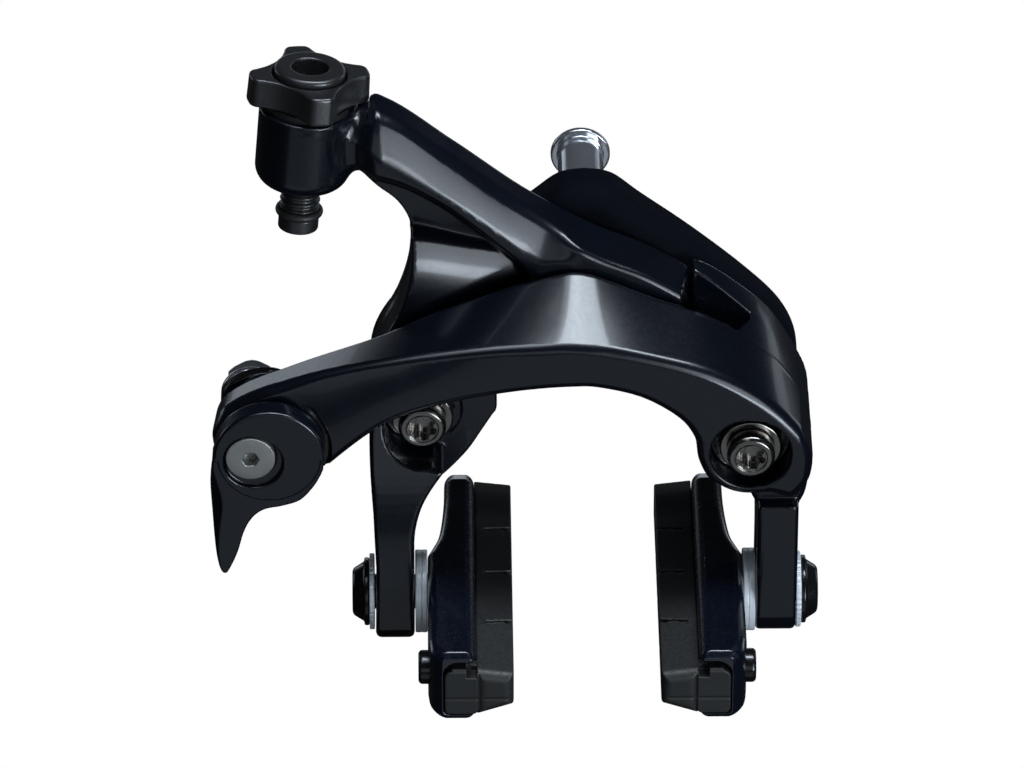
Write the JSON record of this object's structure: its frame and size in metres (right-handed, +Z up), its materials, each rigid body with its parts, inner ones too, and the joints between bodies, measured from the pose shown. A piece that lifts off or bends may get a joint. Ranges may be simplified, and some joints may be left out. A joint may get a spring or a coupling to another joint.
{
  "type": "rim brake caliper",
  "caption": "Dual-pivot rim brake caliper with linked arms, cable adjuster, quick-release cam lever and cartridge pads.",
  "frame": {"origin": "centre of the serrated washer's rear face, which seats on the fork crown, on the mounting bolt's axis", "axes": "+Y along the mounting bolt, into the fork; +Z up; the front of the brake faces -Y; +X to the right seen from the front"},
  "size_m": [0.102, 0.089, 0.1038],
  "materials": {
    "arm_black": "gloss blue-black anodised forging",
    "bolt_silver": "bright plated",
    "pivot_steel": "dark polished steel",
    "washer_silver": "machined, satin",
    "bush_bronze": "plain bearing",
    "spring_steel": "drawn wire",
    "nylon_black": "matte",
    "knob_black": "satin black",
    "rubber_black": "matte",
    "anchor_grey": "bead blasted",
    "anchor_dark": "dark",
    "holder_blue": "gloss dark blue",
    "pad_rubber": "moulded",
    "bolt_black": "black oxide"
  },
  "bodies": {
    "bracket": {"mount_bracket": "arm_black", "mounting_bolt": "bolt_silver", "serrated_washer": "bolt_silver", "right_pivot_bolt": "pivot_steel", "right_pivot_collar": "pivot_steel", "right_thrust_washer": "washer_silver", "left_pivot_bolt": "pivot_steel", "left_pivot_collar": "pivot_steel", "left_thrust_washer": "washer_silver", "return_spring": "spring_steel"},
    "front_arm": {"front_arm": "arm_black", "right_pivot_bush": "bush_bronze", "centering_screw": "bolt_silver", "right_shoe_bolt": "bolt_black", "right_outer_washer": "washer_silver", "right_convex_washer": "washer_silver"},
    "upper_arm": {"upper_arm": "arm_black", "left_pivot_bush": "bush_bronze", "spring_slider": "nylon_black", "roller_pin": "bolt_silver", "adjuster_seal": "nylon_black", "left_shoe_bolt": "bolt_black", "left_outer_washer": "washer_silver", "left_convex_washer": "washer_silver"},
    "right_shoe": {"right_shoe_holder": "holder_blue", "right_brake_pad": "pad_rubber", "right_pad_screw": "bolt_black", "right_concave_washer": "washer_silver"},
    "left_shoe": {"left_shoe_holder": "holder_blue", "left_brake_pad": "pad_rubber", "left_pad_screw": "bolt_black", "left_concave_washer": "washer_silver"},
    "sync_roller": {"sync_roller": "pivot_steel"},
    "adjuster_knob": {"adjuster_knob": "knob_black"},
    "adjuster_barrel": {"adjuster_barrel": "knob_black", "adjuster_o_ring": "rubber_black"},
    "qr_lever": {"qr_lever": "arm_black", "anchor_bolt": "anchor_grey", "clamp_plate": "anchor_dark", "anchor_nut": "anchor_grey"},
    "sunk_nut": {"sunk_nut": "bolt_silver"}
  },
  "joints": [
    {"name": "front_arm_pivot", "type": "hinge", "parent": "bracket", "child": "front_arm", "pos_m": [0.0273, -0.024, -0.0155], "axis": [0, 1, 0], "range_deg": [0, 7], "stiffness_Nm_per_rad": 0.25, "springref_deg": -17.19},
    {"name": "upper_arm_pivot", "type": "hinge", "parent": "bracket", "child": "upper_arm", "pos_m": [-0.0273, -0.017, -0.0155], "axis": [0, 1, 0], "range_deg": [-7, 0], "deforming": ["return_spring"]},
    {"name": "right_shoe_tilt", "type": "hinge", "parent": "front_arm", "child": "right_shoe", "pos_m": [0.028, -0.028, -0.049], "axis": [1, 0, 0], "range_deg": [-4, 4]},
    {"name": "left_shoe_tilt", "type": "hinge", "parent": "upper_arm", "child": "left_shoe", "pos_m": [-0.028, -0.028, -0.049], "axis": [1, 0, 0], "range_deg": [-4, 4]},
    {"name": "sync_roller_spin", "type": "hinge", "parent": "upper_arm", "child": "sync_roller", "pos_m": [0.014, -0.017, 0.004], "axis": [0, 1, 0], "continuous": true},
    {"name": "adjuster_knob_spin", "type": "hinge", "parent": "upper_arm", "child": "adjuster_knob", "pos_m": [-0.047, -0.0156, 0.026], "axis": [0.0814, 0.1115, 0.9904], "range_deg": [0, 1080]},
    {"name": "adjuster_barrel_slide", "type": "slide", "parent": "upper_arm", "child": "adjuster_barrel", "axis": [0.0814, 0.1115, 0.9904], "range_m": [0, 0.003]},
    {"name": "qr_lever_turn", "type": "hinge", "parent": "front_arm", "child": "qr_lever", "pos_m": [-0.0527, -0.03, -0.0143], "axis": [0, 1, 0], "range_deg": [0, 95]},
    {"name": "nut_slide", "type": "slide", "parent": "bracket", "child": "sunk_nut", "axis": [0, 1, 0], "range_m": [0, 0.06]}
  ],
  "couplings": [
    {"joint": "upper_arm_pivot", "follows": "front_arm_pivot", "ratio": -1},
    {"joint": "adjuster_barrel_slide", "follows": "adjuster_knob_spin", "m_per_rad": 0.00015915}
  ]
}
